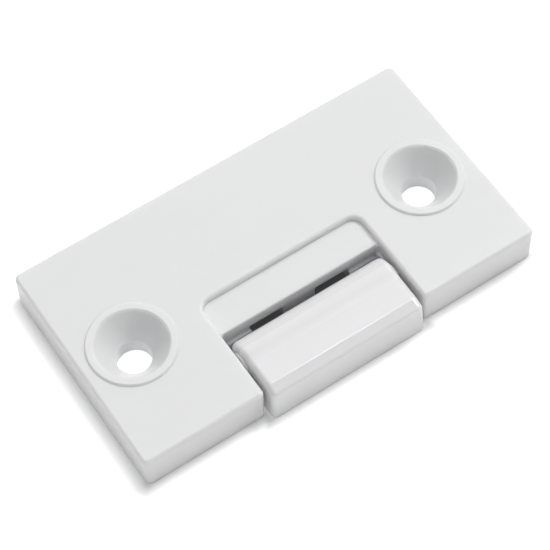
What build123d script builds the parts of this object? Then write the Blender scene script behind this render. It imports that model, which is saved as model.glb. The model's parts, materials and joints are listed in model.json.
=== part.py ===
"""Refrigerator shelf hinge: a base plate with a flush friction knuckle.

Millimetres. X runs along the plate, Y towards its back edge and Z up.
The origin is midway between the two screw holes, on the plate's underside.
"""
import os
from math import atan, cos, degrees, radians, sin, sqrt

from build123d import *

# Base plate
plate_length = 60.2
plate_width = 32.8
plate_thickness = 5.9
hole_to_back = 17.4
corner_radius = 0.9
top_edge_radius = 0.5
skin = 2.0
outer_wall = 1.9
rib_width = 1.2
rib_recess = 0.4
rib_pitch = 9.0
rib_root = 0.5
core_corner = 0.6
boss_lap = 0.4

# Screw holes of the plate
hole_spacing = 45.0
bore_radius = 2.4
bore_height = 2.5
countersink_radius = 4.85
ring_radius = 6.1
ring_height = 0.3
ring_edge = 0.2
lip_width = 0.25
lip_drop = 0.2

# Pocket for the knuckle
cheek_gap = 0.45
ledge_depth = 0.9
ledge_width = 5.0
ledge_corner = 1.6
ledge_edge = 0.2
back_gap = 1.2
wall_thickness = 1.6
lintel_height = 3.0
lintel_overhang = 0.2
mullion_width = 4.9
window_width = 5.3
seat_height = 2.1
seat_depth = 0.5
seat_edge = 0.2
seat_corner = 1.4
wall_corner = 0.7
cheek_seat_height = 3.1
cheek_seat_depth = 0.3
cheek_seat_length = 1.6
notch_edge = 0.65

# Knuckle, the moving leaf
knuckle_length = 23.8
knuckle_reach = 7.6
axis_height = 3.0
heel_length = 0.5
heel_angle = 40.0
crest_rise = 0.1
crease_radius = 3.0
lean = 0.3
bevel_width = 1.9
bevel_height = 0.4
bevel_top_radius = 0.6
bevel_foot_radius = 0.5
end_radius = 0.8
knuckle_front_lead = 1.15
hub_bore_radius = 1.7
slot_height = 1.0
slot_reach = 3.1
core_depth = 3.4
core_wall = 0.9

# Shaft and its bushes
shaft_radius = 1.25
running_gap = 0.03
shaft_grip = 3.6
flat_width = 2.0
shaft_chamfer = 0.2
bush_length = 3.1
bush_stand = 0.1

# Friction clips
clip_count = 10
clip_play = 0.18
clip_seat_gap = 0.05
clip_tail_height = 0.8
clip_tail_gap = 0.1
clip_split = 0.5

# Keepers and their screws
keeper_thickness = 0.8
keeper_width = 3.1
keeper_length = 8.8
keeper_corner = 0.5
keeper_inset = 0.475
screw_pitch = 6.0
screw_head_radius = 1.3
screw_radius = 0.75
screw_length = 4.0
pilot_room = 0.3
recess_depth = 0.4
recess_width = 0.35
recess_span = 1.4

# Threaded inserts of the knuckle
insert_from_end = 4.9
insert_radius = 1.75
insert_length = 4.0
thread_radius = 1.025
insert_groove_width = 0.6
insert_groove_depth = 0.2
insert_from_front = 2.35

# Places that follow from the sizes
back_y = hole_to_back
front_y = back_y - plate_width
knuckle_front_y = front_y - knuckle_front_lead
axis_y = knuckle_front_y + knuckle_reach
hub_radius = plate_thickness - axis_height
half_knuckle = knuckle_length / 2
half_notch = half_knuckle + cheek_gap
wall_y = axis_y + hub_radius + back_gap
ledge_back_y = wall_y + ledge_width
ledge_level = plate_thickness - ledge_depth
recessed_wall_y = wall_y + lintel_overhang
leaf_top = plate_thickness - crest_rise
lean_slope = lean / plate_thickness
cheek_width = hole_spacing / 2 - ring_radius - half_notch
keeper_x = half_notch + keeper_inset + keeper_width / 2
half_shaft = half_notch + shaft_grip
insert_x = half_knuckle - insert_from_end
insert_y = knuckle_front_y + insert_from_front
clip_room = 2 * (half_knuckle + bush_stand - bush_length)
window_end_x = mullion_width / 2 + window_width
ring_top = plate_thickness + ring_height

# How far cutters run past a face, and how near an edge must lie to be found
over = 1.0
touch = 0.01


def block(x0, x1, y0, y1, z0, z1):
    """A box given by its two opposite corners."""
    size = Box(x1 - x0, y1 - y0, z1 - z0)
    return Pos((x0 + x1) / 2, (y0 + y1) / 2, (z0 + z1) / 2) * size


def rounded_block(x0, x1, y0, y1, z0, z1, radius):
    """A box with its upright edges rounded."""
    body = block(x0, x1, y0, y1, z0, z1)
    return fillet(body.edges().filter_by(Axis.Z), radius)


def rod(radius, x0, x1):
    """A round bar along the hinge axis."""
    bar = Cylinder(radius, x1 - x0, align=(Align.CENTER, Align.CENTER, Align.MIN))
    return Pos(x0, axis_y, axis_height) * Rot(0, 90, 0) * bar


def upright(radius, z0, z1):
    """A round bar on the Z axis between two heights."""
    bar = Cylinder(radius, z1 - z0, align=(Align.CENTER, Align.CENTER, Align.MIN))
    return Pos(0, 0, z0) * bar


def edges_at(body, z):
    """Edges that lie wholly at one height."""
    found = ShapeList()
    for edge in body.edges():
        box = edge.bounding_box()
        if abs(box.min.Z - z) < touch and abs(box.max.Z - z) < touch:
            found.append(edge)
    return found


def plate_outline():
    """The plate's block with the notch and the sunk ledge, all its top edges rounded."""
    half = plate_length / 2
    body = rounded_block(-half, half, front_y, back_y, 0, plate_thickness, corner_radius)
    body -= block(-half_notch, half_notch, front_y - over, wall_y, -over, plate_thickness + over)
    sunk = block(-half_notch, half_notch, front_y - over, ledge_back_y, ledge_level, plate_thickness + over)
    back_corners = sunk.edges().filter_by(Axis.Z).group_by(Axis.Y)[-1]
    body -= fillet(back_corners, ledge_corner)
    mouth = body.edges().filter_by(Axis.Z).filter_by_position(Axis.Y, front_y - touch, front_y + touch)
    body = fillet(mouth, notch_edge)
    body = fillet(edges_at(body, plate_thickness), top_edge_radius)
    at_level = edges_at(body, ledge_level)
    ledge_front = at_level.filter_by_position(Axis.Y, wall_y - touch, wall_y + touch)
    return fillet(ledge_front, ledge_edge)


def core_bay(x0, x1, y0, y1, ceiling):
    """One hollow of the cored underside."""
    return rounded_block(x0, x1, y0, y1, -over, ceiling, core_corner)


def underside_core():
    """All hollows of the underside: behind the notch, and round each screw boss."""
    half = plate_length / 2
    low = ledge_level - skin
    high = plate_thickness - skin
    step_y = ledge_back_y + skin - rib_width
    inner_y = recessed_wall_y + wall_thickness
    side_x = half_notch + cheek_width + boss_lap
    middle_x = side_x - rib_width
    hollows = core_bay(-half_notch, half_notch, inner_y, step_y + core_corner, low)
    hollows += core_bay(-middle_x, middle_x, step_y, back_y - outer_wall, high)
    for side in (-1, 1):
        near, far = sorted((side * side_x, side * (half - outer_wall)))
        hollows += core_bay(near, far, front_y + outer_wall, back_y - outer_wall, high)
    return hollows


def stiffening_ribs():
    """Ribs across the hollow behind the notch, a little short of the underside."""
    near_y = recessed_wall_y + wall_thickness - rib_root
    far_y = back_y - outer_wall + rib_root
    ribs = []
    for place in (-1, 0, 1):
        x = place * rib_pitch
        ribs.append(block(x - rib_width / 2, x + rib_width / 2, near_y, far_y,
                          rib_recess, ledge_level - skin / 2))
    return ribs


def boss(side):
    """The solid round one screw hole, with its raised ring."""
    post = Pos(side * hole_spacing / 2, 0, 0) * upright(ring_radius, 0, ring_top)
    return chamfer(edges_at(post, ring_top), ring_edge)


def screw_hole(side):
    """The straight bore, the cone above it and the blunted lip at the ring."""
    lip_radius = countersink_radius + lip_width
    profile = Polyline((0, -over), (bore_radius, -over), (bore_radius, bore_height),
                       (countersink_radius, ring_top - lip_drop), (lip_radius, ring_top),
                       (lip_radius, ring_top + over), (0, ring_top + over), close=True)
    cutter = revolve(Plane.XZ * make_face(profile), Axis.Z)
    return Pos(side * hole_spacing / 2, 0, 0) * cutter


def corner_fill(side, wall, radius, top):
    """What rounds the pocket's inner corner at one end, up to a height."""
    near, far = sorted((side * (half_notch - radius), side * half_notch))
    fill = block(near, far, wall - radius, wall, 0, top)
    return fill - Pos(side * (half_notch - radius), wall - radius, 0) * upright(radius, -over, top + over)


def windows_and_seats(body):
    """Opens the two windows under the ledge, and adds the seats at the wall's ends."""
    behind_wall_y = recessed_wall_y + wall_thickness + over
    body -= block(-half_notch, half_notch, wall_y - over, recessed_wall_y, -over, lintel_height)
    for side in (-1, 1):
        near, far = sorted((side * mullion_width / 2, side * window_end_x))
        body -= block(near, far, wall_y - over, behind_wall_y, -over, lintel_height)
        near, far = sorted((side * window_end_x, side * half_notch))
        seat = block(near, far, recessed_wall_y - seat_depth, recessed_wall_y, 0, seat_height)
        front_edge = edges_at(seat, seat_height).filter_by(Axis.X).group_by(Axis.Y)[0]
        body += fillet(front_edge, seat_edge)
        near, far = sorted((side * (half_notch - cheek_seat_depth), side * half_notch))
        body += block(near, far, recessed_wall_y - cheek_seat_length, recessed_wall_y, 0, cheek_seat_height)
        body += corner_fill(side, recessed_wall_y, seat_corner, seat_height)
        body += corner_fill(side, wall_y, wall_corner, ledge_level - ledge_edge)
    return body


def flatted(radius, width, x0, x1, top_only=False):
    """A round bar along the axis with two upright flats, the form of the shaft's ends."""
    low = -over if top_only else axis_height - radius
    slab = block(x0, x1, axis_y - width / 2, axis_y + width / 2, low, axis_height + radius)
    round_top = rod(radius, x0, x1)
    if top_only:
        round_top += block(x0, x1, axis_y - radius, axis_y + radius, low, axis_height)
    return slab & round_top


def keeper_outline(side, z0, z1):
    """The keeper's plan between two heights."""
    x = side * keeper_x
    return rounded_block(x - keeper_width / 2, x + keeper_width / 2, axis_y - keeper_length / 2,
                         axis_y + keeper_length / 2, z0, z1, keeper_corner)


def screw_place(side, row):
    """Where one keeper screw stands."""
    return Pos(side * keeper_x, axis_y + row * screw_pitch / 2, 0)


def screw_body():
    """A countersunk screw head down: head as thick as the keeper, shank upwards."""
    profile = Polyline((0, 0), (screw_head_radius, 0), (screw_radius, keeper_thickness),
                       (screw_radius, screw_length), (0, screw_length), close=True)
    return revolve(Plane.XZ * make_face(profile), Axis.Z)


def shaft_slots(body):
    """Cuts the slots, keeper seats and screw holes of both cheeks."""
    for side in (-1, 1):
        near, far = sorted((side * (half_notch - over), side * half_shaft))
        body -= flatted(shaft_radius, flat_width, near, far, top_only=True)
        body -= keeper_outline(side, -over, keeper_thickness)
        for row in (-1, 1):
            body -= screw_place(side, row) * upright(screw_radius, 0, screw_length + pilot_room)
    return body


def make_base_plate():
    """The fixed moulding: plate, bosses, pocket wall and cheeks."""
    body = plate_outline()
    body -= underside_core()
    for rib in stiffening_ribs():
        body += rib
    for side in (-1, 1):
        body += boss(side)
        body -= screw_hole(side)
    body = windows_and_seats(body)
    return shaft_slots(body)


def knuckle_section():
    """The section: leaning front, shallow bevel, flat top, soft crease and a barrel about the axis."""
    turn = radians(heel_angle)
    heel = (axis_y + hub_radius * cos(turn), axis_height - hub_radius * sin(turn))
    foot = (axis_y - heel_length, 0)
    bevel_foot_z = leaf_top - bevel_height
    bevel_foot = (knuckle_front_y + lean_slope * bevel_foot_z, bevel_foot_z)
    bevel_top = (knuckle_front_y + bevel_width, leaf_top)
    crease = (axis_y - sqrt(hub_radius ** 2 - (leaf_top - axis_height) ** 2), leaf_top)
    with BuildSketch(Plane.YZ) as sketch:
        with BuildLine():
            Polyline(heel, foot, (knuckle_front_y, 0), bevel_foot, bevel_top, crease)
            ThreePointArc(crease, (axis_y + hub_radius, axis_height), heel)
        make_face()
        for corner, radius in ((bevel_foot, bevel_foot_radius), (bevel_top, bevel_top_radius),
                               (crease, crease_radius)):
            fillet(sketch.vertices().sort_by_distance(Vector(*corner))[0], radius)
    return sketch.sketch


def past_end(side):
    """All that lies past one leaning end of the knuckle."""
    near, far = sorted((0, side * plate_length))
    beyond = block(near, far, -plate_width, plate_width, -plate_width, plate_width)
    return Pos(side * half_knuckle, 0, 0) * Rot(0, -side * degrees(atan(lean_slope)), 0) * beyond


def make_knuckle():
    """The moving leaf, bored for the shaft and slotted for the clips' tails."""
    body = extrude(knuckle_section(), half_knuckle + over, both=True)
    for side in (-1, 1):
        body -= past_end(side)
    by_place = body.faces().sort_by(Axis.X)
    ends = ShapeList()
    for edge in by_place[0].edges() + by_place[-1].edges():
        if edge.bounding_box().max.Z > touch:
            ends.append(edge)
    body = fillet(ends, end_radius)
    body -= rod(hub_bore_radius, -half_knuckle - over, half_knuckle + over)
    body -= block(-clip_room / 2, half_knuckle + over, axis_y - slot_reach, axis_y,
                  axis_height - slot_height / 2, axis_height + slot_height / 2)
    for side in (-1, 1):
        body -= Pos(side * insert_x, insert_y, 0) * insert_blank(over)
    free = insert_x - insert_radius - core_wall
    body -= rounded_block(-free, free, knuckle_front_y + core_wall, axis_y - slot_reach - core_wall,
                          -over, core_depth, core_corner)
    return body


def insert_blank(below=0.0):
    """The round blank of an insert, from its mouth upwards."""
    return upright(insert_radius, -below, insert_length)


def make_insert(side):
    """A brass insert with a groove round its middle and a thread bore."""
    body = insert_blank()
    body -= upright(thread_radius, -over, insert_length + over)
    groove = Cylinder(insert_radius + over, insert_groove_width)
    groove -= Cylinder(insert_radius - insert_groove_depth, insert_groove_width)
    body -= Pos(0, 0, insert_length / 2) * groove
    return Pos(side * insert_x, insert_y, 0) * body


def make_shaft():
    """The steel shaft, round in the middle and flatted where the cheeks hold it."""
    body = rod(shaft_radius, -half_notch, half_notch)
    for side in (-1, 1):
        near, far = sorted((side * half_notch, side * half_shaft))
        body += flatted(shaft_radius, flat_width, near, far)
    tips = body.faces().filter_by(Axis.X).sort_by(Axis.X)
    rims = tips[0].edges() + tips[-1].edges()
    return chamfer(rims, shaft_chamfer)


def make_bush(side):
    """A plain bush in one end of the knuckle, proud of it as a thrust face."""
    inner = side * (half_knuckle + bush_stand - bush_length)
    outer = side * (half_knuckle + bush_stand)
    x0, x1 = sorted((inner, outer))
    return rod(hub_bore_radius, x0, x1) - rod(shaft_radius + running_gap, x0 - over, x1 + over)


def make_clip(index):
    """One friction clip: a split ring about the shaft with a tail in the knuckle's slot."""
    pitch = clip_room / clip_count
    x0 = -clip_room / 2 + index * pitch + clip_play / 2
    x1 = x0 + pitch - clip_play
    outer = hub_bore_radius - clip_seat_gap
    tail_low = axis_height - clip_tail_height / 2
    tail_high = axis_height + clip_tail_height / 2
    tail_end_y = axis_y - slot_reach + clip_tail_gap
    body = rod(outer, x0, x1)
    body += block(x0, x1, tail_end_y, axis_y - shaft_radius, tail_low, tail_high)
    body -= rod(shaft_radius + running_gap, x0 - over, x1 + over)
    body -= block(x0 - over, x1 + over, axis_y - outer - over, axis_y - shaft_radius / 2,
                  tail_high, tail_high + clip_split)
    return body


def make_keeper(side):
    """The cap that closes a shaft slot, with a boss that reaches up to the shaft."""
    x = side * keeper_x
    body = keeper_outline(side, 0, keeper_thickness)
    body += block(x - keeper_width / 2, x + keeper_width / 2,
                  axis_y - flat_width / 2, axis_y + flat_width / 2,
                  keeper_thickness, axis_height - shaft_radius)
    for row in (-1, 1):
        body -= screw_place(side, row) * screw_body()
    return body


def make_keeper_screw(side, row):
    """One small countersunk screw with a cross recess."""
    body = screw_body()
    for turn in (0, 90):
        body -= Rot(0, 0, turn) * Box(recess_span, recess_width, 2 * recess_depth)
    return screw_place(side, row) * body


side_names = {-1: "left", 1: "right"}
row_names = {-1: "front", 1: "rear"}

parts = {
    "base_plate": make_base_plate(),
    "knuckle": make_knuckle(),
    "hinge_shaft": make_shaft(),
}
for side, side_name in side_names.items():
    parts[f"bush_{side_name}"] = make_bush(side)
    parts[f"insert_{side_name}"] = make_insert(side)
    parts[f"shaft_keeper_{side_name}"] = make_keeper(side)
    for row, row_name in row_names.items():
        parts[f"keeper_screw_{side_name}_{row_name}"] = make_keeper_screw(side, row)
for index in range(clip_count):
    parts[f"friction_clip_{index + 1:02d}"] = make_clip(index)

os.makedirs("parts", exist_ok=True)
for name, solid in parts.items():
    export_step(solid, f"parts/{name}.step")
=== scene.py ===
# %% [markdown]
# # A refrigerator shelf hinge
# This lesson dresses a small white friction hinge. Its solids are already packed as a frame: a flat
# moulded plate with two countersunk holes, and a glossy knuckle that swings in the plate's pocket.
# The lesson gives every piece a finish such as these pieces have, and lights the hinge softly on a
# pale floor.

# %% Load the frame
import json
from math import cos, radians, sin

import bpy
from mathutils import Matrix, Vector


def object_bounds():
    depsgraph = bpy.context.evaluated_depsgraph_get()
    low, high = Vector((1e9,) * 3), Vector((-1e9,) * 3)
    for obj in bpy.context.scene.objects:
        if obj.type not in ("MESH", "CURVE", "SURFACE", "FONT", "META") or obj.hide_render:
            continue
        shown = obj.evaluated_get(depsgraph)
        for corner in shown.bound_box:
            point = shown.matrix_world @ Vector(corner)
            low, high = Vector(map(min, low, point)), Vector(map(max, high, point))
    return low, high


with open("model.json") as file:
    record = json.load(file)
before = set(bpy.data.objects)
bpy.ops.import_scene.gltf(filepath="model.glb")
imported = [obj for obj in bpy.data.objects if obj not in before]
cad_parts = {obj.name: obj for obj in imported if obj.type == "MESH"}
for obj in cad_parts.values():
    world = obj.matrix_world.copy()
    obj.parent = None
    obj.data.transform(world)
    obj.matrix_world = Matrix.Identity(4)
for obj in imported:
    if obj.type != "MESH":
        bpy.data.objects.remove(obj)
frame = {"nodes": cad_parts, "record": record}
cad_low, cad_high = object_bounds()
MM = 0.001
print("nodes", len(frame["nodes"]), "size in mm", [round(v / MM, 2) for v in cad_high - cad_low])

# %% [markdown]
# ## Shader maths
# A finish is a number that changes over the surface, such as a grain or a stain. Writing that as a
# Python expression is easier to read than wiring Math nodes by hand, so one small class wraps a
# socket and turns each operator into its node.


# %% A number that changes over a surface
class Field:
    """One socket of a material, with the arithmetic that makes new sockets from it."""

    def __init__(self, finish, socket):
        self.finish = finish
        self.socket = socket

    def math(self, operation, first, second):
        return self.finish.node("Math", {"operation": operation}, {0: first, 1: second}, out="Value")

    def __add__(self, other):
        return self.math("ADD", self, other)

    __radd__ = __add__

    def __sub__(self, other):
        return self.math("SUBTRACT", self, other)

    def __rsub__(self, other):
        return self.math("SUBTRACT", other, self)

    def __mul__(self, other):
        return self.math("MULTIPLY", self, other)

    __rmul__ = __mul__

    def __abs__(self):
        return self.math("ABSOLUTE", self, 0.0)

    def clamp(self):
        return self.finish.node("Clamp", {}, {"Value": self}, out="Result")

    def between(self, low, high):
        """A mask: 0 below the low value, 1 above the high one."""
        values = {"Value": self, "From Min": low, "From Max": high}
        return self.finish.node("MapRange", {"clamp": True}, values, out="Result")


# %% [markdown]
# ## A finish
# Each piece gets one material. Everything in it reads Object coordinates, so the grain stays on the
# piece when it moves. Values that are the same all over are set on the shader itself, and only what
# changes over the surface is wired.


# %% One material and its nodes
class Finish:
    """A Principled material whose nodes all come from one method."""

    def __init__(self, name, **shader_values):
        self.material = bpy.data.materials.new(name)
        self.material.use_nodes = True
        self.tree = self.material.node_tree
        self.shader = next(n for n in self.tree.nodes if n.type == "BSDF_PRINCIPLED")
        for socket, value in shader_values.items():
            self.shader.inputs[socket.replace("_", " ")].default_value = value
        self.place = self.node("TexCoord", {}, {}, out="Object")

    def node(self, kind, settings, values, out):
        made = self.tree.nodes.new("ShaderNode" + kind)
        for name, value in settings.items():
            setattr(made, name, value)
        for key, value in values.items():
            socket = made.inputs[key]
            if isinstance(value, Field):
                self.tree.links.new(value.socket, socket)
            else:
                socket.default_value = value
        return Field(self, made.outputs[out])

    def noise(self, grain, detail=2.0, roughness=0.5, stretch=(1, 1, 1)):
        """Noise with lumps of about one grain, in millimetres."""
        moved = self.node("Mapping", {}, {"Vector": self.place, "Scale": stretch}, out="Vector")
        values = {"Vector": moved, "Scale": 1 / (grain * MM), "Detail": detail, "Roughness": roughness}
        return self.node("TexNoise", {}, values, out="Fac")

    def blend(self, mask, first, second):
        """A colour that goes from the first to the second with the mask."""
        made = self.tree.nodes.new("ShaderNodeMix")
        made.data_type = "RGBA"
        self.tree.links.new(mask.socket, made.inputs[0])
        for socket, colour in ((made.inputs[6], first), (made.inputs[7], second)):
            if isinstance(colour, Field):
                self.tree.links.new(colour.socket, socket)
            else:
                socket.default_value = (*colour, 1)
        return Field(self, made.outputs[2])

    def wire(self, **fields):
        """Feeds the shader's own sockets."""
        for socket, field in fields.items():
            self.tree.links.new(field.socket, self.shader.inputs[socket.replace("_", " ")])

    def bump(self, height, depth):
        """Relief of the given depth in millimetres."""
        values = {"Height": height, "Strength": 1.0, "Distance": depth * MM}
        self.wire(Normal=self.node("Bump", {}, values, out="Normal"))


# %% [markdown]
# ## The plate's moulded white
# The plate is satin: its mould was spark eroded, so the surface has a fine, even grain with no
# direction. Under it lie two larger and much fainter changes, the slow cloudiness of a thick
# moulding and the flow of the plastic along the plate. Light enters such a white plastic about a
# millimetre deep, which softens the shade in its corners.


# %% The plate's finish
CLOUD_GRAIN = 14.0
FLOW_GRAIN = 3.0
ALONG_X = (0.35, 1, 1)
MARK_LOW = 0.35
MARK_HIGH = 0.65


def mixed(share, first, second):
    """One field and another, the first with the given share."""
    return share * first + (1 - share) * second


def moulded_white(name, bright, shade, grain, grain_depth, low_gloss, high_gloss,
                  polish_and_painted_shade=None, **shader_values):
    finish = Finish(name, **shader_values)
    cloud = finish.noise(CLOUD_GRAIN, detail=3.0)
    flow = finish.noise(FLOW_GRAIN, detail=4.0, stretch=ALONG_X)
    fine = finish.noise(grain, detail=2.0, roughness=0.6)
    mark = mixed(0.6, cloud, flow).between(MARK_LOW, MARK_HIGH)
    colour = finish.blend(mark, shade, bright)
    dullness = low_gloss + (high_gloss - low_gloss) * mixed(0.3, mark, fine)
    # A hook may change colour and gloss; the knuckle's hook paints shade into its crease.
    if polish_and_painted_shade:
        colour, dullness = polish_and_painted_shade(finish, colour, dullness)
    finish.wire(Base_Color=colour)
    finish.wire(Roughness=dullness.clamp())
    finish.bump(mixed(0.8, fine, flow), grain_depth)
    return finish


TRANSLUCENT = {"Subsurface_Weight": 0.5, "Subsurface_Radius": (1, 1, 1), "Subsurface_Scale": MM}
plate_white = moulded_white(
    "plate_white", bright=(0.806, 0.808, 0.809), shade=(0.796, 0.798, 0.799),
    grain=0.11, grain_depth=0.002, low_gloss=0.30, high_gloss=0.34, **TRANSLUCENT)
print("plate finish nodes", len(plate_white.tree.nodes))

# %% [markdown]
# ## The knuckle's polished white
# The knuckle's mould was polished, so it has a clearer reflection and a much shallower grain than
# the plate, and its plastic is a shade more lilac. The two edges of its bevel are clearer still.
# The crease behind its flat top is duller, and its colour is greyed there as painted shade.


# %% The knuckle's finish
BEVEL_EDGES = (-14.65, -16.20)
EDGE_CORE = 0.2
EDGE_SIDE = 0.5
EDGE_POLISH = 0.10
CREASE = -9.75
CREASE_CORE = 0.1
CREASE_SIDE = 1.0
DULL_SIDE = 1.6
CREASE_DULL = 0.15
# The crease grey below is painted shade, not the plastic's own colour.
CREASE_PAINTED_SHADE = (0.775, 0.774, 0.781)


def knuckle_polish_and_painted_shade(finish, colour, dullness):
    """Paints shade into the crease as a greyer colour, dulls the crease, and polishes the bevel's two
    edges.
    """
    along = finish.node("SeparateXYZ", {}, {"Vector": finish.place}, out="Y")
    from_crease = abs(along - CREASE * MM)
    crease_painted_shade = 1 - from_crease.between(CREASE_CORE * MM, CREASE_SIDE * MM)
    dulled = 1 - from_crease.between(CREASE_SIDE * MM, DULL_SIDE * MM)
    from_edges = [abs(along - edge * MM) for edge in BEVEL_EDGES]
    polished = sum(1 - gap.between(EDGE_CORE * MM, EDGE_SIDE * MM) for gap in from_edges)
    dullness = dullness + CREASE_DULL * dulled - EDGE_POLISH * polished
    # The grey blended into the crease here is painted shade.
    return finish.blend(crease_painted_shade, colour, CREASE_PAINTED_SHADE), dullness


knuckle_white = moulded_white(
    "knuckle_white", bright=(0.812, 0.811, 0.818), shade=(0.802, 0.801, 0.808),
    grain=0.25, grain_depth=0.0005, low_gloss=0.20, high_gloss=0.23, polish_and_painted_shade=knuckle_polish_and_painted_shade,
    Specular_IOR_Level=0.7, **TRANSLUCENT)
print("knuckle finish nodes", len(knuckle_white.tree.nodes))

# %% [markdown]
# ## Metals
# The shaft was ground while it turned, so its fine lines run round it, and the clips' lines run the
# same way. A plated stamping has no lines, but a faint mottle. Both come from noise, stretched
# across the shaft's axis or left even.


# %% Steel and brass
def metal(name, bright, shade, stretch, low_gloss, high_gloss, depth):
    finish = Finish(name, Metallic=1.0)
    lines = finish.noise(0.12, detail=3.0, stretch=stretch)
    stain = finish.noise(2.2, detail=3.0)
    mark = mixed(0.5, lines, stain).between(MARK_LOW, MARK_HIGH)
    finish.wire(Base_Color=finish.blend(mark, shade, bright))
    finish.wire(Roughness=(low_gloss + (high_gloss - low_gloss) * mark).clamp())
    finish.bump(lines, depth)
    return finish


ROUND_X = (1, 0.06, 0.06)
EVEN = (1, 1, 1)
shaft_steel = metal("shaft_steel", (0.62, 0.62, 0.63), (0.50, 0.50, 0.52), ROUND_X, 0.22, 0.34, 0.002)
spring_steel = metal("spring_steel", (0.36, 0.36, 0.38), (0.26, 0.26, 0.28), ROUND_X, 0.30, 0.45, 0.003)
keeper_steel = metal("keeper_steel", (0.60, 0.60, 0.62), (0.50, 0.50, 0.52), EVEN, 0.28, 0.42, 0.003)
screw_steel = metal("screw_steel", (0.64, 0.64, 0.66), (0.52, 0.52, 0.55), EVEN, 0.24, 0.38, 0.002)
insert_brass = metal("insert_brass", (0.74, 0.57, 0.29), (0.60, 0.44, 0.20), EVEN, 0.25, 0.40, 0.003)
bush_acetal = moulded_white(
    "bush_acetal", bright=(0.78, 0.78, 0.76), shade=(0.74, 0.74, 0.72),
    grain=0.2, grain_depth=0.002, low_gloss=0.35, high_gloss=0.45)

# %% [markdown]
# ## Giving the pieces their finishes
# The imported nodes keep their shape. Each one only takes the material of its own slot, as the
# record names it.

# %% Assign the finishes
finishes = {
    "plate_white": plate_white, "knuckle_white": knuckle_white, "shaft_steel": shaft_steel,
    "spring_steel": spring_steel, "keeper_steel": keeper_steel, "screw_steel": screw_steel,
    "insert_brass": insert_brass, "bush_acetal": bush_acetal,
}
for entry in frame["record"]["subparts"]:
    piece = frame["nodes"][entry["node"]]
    piece.data.materials.clear()
    piece.data.materials.append(finishes[entry["material_slot"]].material)

# %% [markdown]
# ## The floor
# The hinge lies on a sheet of white paper that runs out of sight. It keeps the soft shadow of the
# hinge. A studio picture shows such a sheet as plain white, so whoever looks at it, straight or
# through a reflection, sees it brighter than it is lit. That lift fades out in a fixed band round the
# foot of the plate and of the knuckle at rest, where the paper keeps its dark contact line. That line
# is partly real shadow and partly painted shadow, as the band stays put when the knuckle swings.
# In the cavity behind the pocket's two windows the paper gets no lift, and its colour is a painted
# shade of grey, so that the windows look dark.

# %% Make the floor
FLOOR_SIZE = 3.0
FLOOR_LIFT = 0.6
SEEN_BY = ("Camera", "Glossy", "Transmission")
PAPER_WHITE = (0.97, 0.97, 0.97)
# The cavity grey below is painted shade on the paper inside the plate's cavity.
CAVITY_PAINTED_SHADE = (0.27, 0.27, 0.27)
BLACK = (0, 0, 0)
WHITE = (1, 1, 1)
FOOT_BAND = 2.4
PLATE_FRONT = -15.4
PLATE_BACK = 17.4
KNUCKLE_X = 12.4
CAVITY_X = 13.0
CAVITY_Y = 10.0
CAVITY_FADE = 1.0

bpy.ops.object.select_all(action="DESELECT")
bpy.ops.mesh.primitive_plane_add(size=FLOOR_SIZE, location=(0, 0, 0))
floor = bpy.context.object
floor.name = "floor"
paper = Finish("floor_paper", Roughness=0.9, Emission_Strength=1.0)
across, along = (paper.node("SeparateXYZ", {}, {"Vector": paper.place}, out=axis) for axis in "XY")
beside_cavity = abs(across).between(CAVITY_X * MM, (CAVITY_X + CAVITY_FADE) * MM)
beyond_cavity = abs(along).between(CAVITY_Y * MM, (CAVITY_Y + CAVITY_FADE) * MM)
in_open = (beside_cavity + beyond_cavity).clamp()


def outside(half_x, low_y, high_y):
    """How far a place on the floor lies outside a rectangle that is even about the Y axis."""
    beside = abs(across) - half_x
    beyond = abs(along - (low_y + high_y) / 2) - (high_y - low_y) / 2
    return beside.math("MAXIMUM", beside, beyond)


plate_foot = outside(cad_high.x, PLATE_FRONT * MM, PLATE_BACK * MM)
knuckle_foot = outside(KNUCKLE_X * MM, cad_low.y, 0.0)
# This band is fixed round the foot, so the contact line it leaves is partly painted shadow.
from_foot = abs(plate_foot.math("MINIMUM", plate_foot, knuckle_foot)).between(0.0, FOOT_BAND * MM)
looks = sum(paper.node("LightPath", {}, {}, out=f"Is {ray} Ray") for ray in SEEN_BY)
lifted = looks * in_open * from_foot * FLOOR_LIFT
# Inside the cavity the paper's colour is a painted shade of grey.
paper.wire(Base_Color=paper.blend(in_open, CAVITY_PAINTED_SHADE, PAPER_WHITE))
paper.wire(Emission_Color=paper.blend(lifted, BLACK, WHITE))
floor.data.materials.append(paper.material)

# %% [markdown]
# ## The light
# Soft lamps and a pale room light the hinge. The key lamp stands to its right: the cones of the
# screw holes are brightest where they face it, and the shadow falls to the left. The large back
# panel is what the flat tops mirror, as one even sheen. The left and front lamps open up the sides
# that the key lamp leaves dark, and the front one is slightly cool.
# Two small lamps near the top of the room are there to be mirrored: the edge lamp by the rounded
# edge over the knuckle's bevel, and the bevel lamp by the bevel itself. The room is pale at its
# walls and dark overhead.

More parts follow.
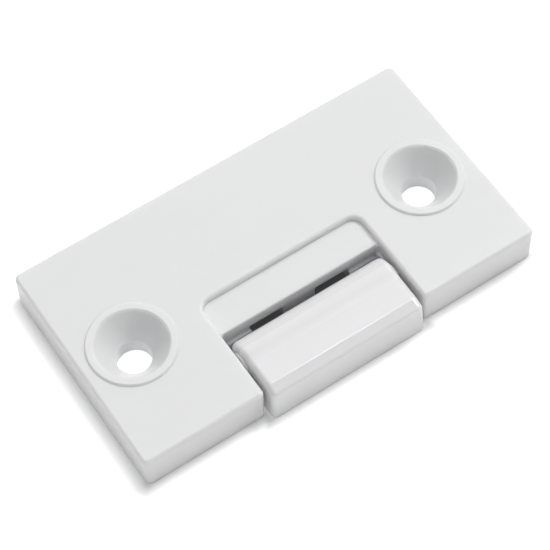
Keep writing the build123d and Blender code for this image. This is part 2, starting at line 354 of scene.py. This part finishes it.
# %% Make the light
CEILING = (0.02, 0.02, 0.02)
WALL = (0.75, 0.738, 0.704)
WALL_TOP = 0.75
PLAIN = (1.0, 1.0, 1.0)
COOL = (0.95, 0.98, 1.05)
LAMPS = {
    "key_lamp": {"place": (0.99, 0.16, 1.25), "size": 0.50, "power": 12.9, "colour": PLAIN},
    "back_panel": {"place": (0.32, 0.88, 1.30), "size": 1.10, "power": 6.1, "colour": PLAIN},
    "left_lamp": {"place": (-0.48, 0.16, 1.52), "size": 0.60, "power": 2.4, "colour": PLAIN},
    "front_lamp": {"place": (-0.43, -0.69, 1.38), "size": 0.40, "power": 3.6, "colour": COOL},
    "edge_lamp": {"place": (0.43, 0.40, 1.49), "size": 0.20, "power": 0.9, "colour": PLAIN},
    "bevel_lamp": {"place": (0.40, 0.08, 1.44), "size": 0.30, "power": 0.3, "colour": PLAIN},
}

world = bpy.data.worlds.new("studio")
bpy.context.scene.world = world
world.use_nodes = True


class Room(Finish):
    """The world's nodes, made by the same methods as a material's."""

    def __init__(self, tree):
        self.tree = tree
        self.shader = tree.nodes["Background"]
        self.place = self.node("TexCoord", {}, {}, out="Generated")


room = Room(world.node_tree)
height = room.node("SeparateXYZ", {}, {"Vector": room.place}, out="Z")
fade = {"Value": height, "From Min": 0.0, "From Max": WALL_TOP}
up = room.node("MapRange", {"interpolation_type": "SMOOTHSTEP"}, fade, out="Result")
room.wire(Color=room.blend(up, WALL, CEILING))

for name, lamp in LAMPS.items():
    place = Vector(lamp["place"])
    bpy.ops.object.light_add(type="AREA", location=place)
    light = bpy.context.object
    light.name = name
    light.data.size = lamp["size"]
    light.data.energy = lamp["power"]
    light.data.color = lamp["colour"]
    light.rotation_euler = (-place).to_track_quat("-Z", "Y").to_euler()
print("lamps", list(LAMPS))

# %% [markdown]
# ## The camera
# The camera stands about where the photograph was taken from. Its place was worked out from the
# plate's edges, rings and front corner, and it is turned a little about its own axis.

# %% Make the camera
CAMERA_PLACE = Vector((-70.89, -114.81, 229.80)) * MM
AZIMUTH = radians(-31.43)
ELEVATION = radians(59.38)
ROLL = radians(-2.48)
SENSOR = 36.0
FOCAL_PIXELS = 2007.2
PICTURE = 550

back = Vector((sin(AZIMUTH) * cos(ELEVATION), -cos(AZIMUTH) * cos(ELEVATION), sin(ELEVATION)))
bpy.ops.object.camera_add(location=CAMERA_PLACE)
camera = bpy.context.object
camera.data.sensor_width = SENSOR
camera.data.lens = SENSOR * FOCAL_PIXELS / PICTURE
camera.data.clip_start = 0.01
camera.data.clip_end = 10.0
level = (-back).to_track_quat("-Z", "Y").to_matrix()
camera.rotation_euler = (level @ Matrix.Rotation(ROLL, 3, "Z")).to_euler()
bpy.context.scene.camera = camera
bpy.context.scene.view_settings.view_transform = "Standard"
print("lens", round(camera.data.lens, 2))
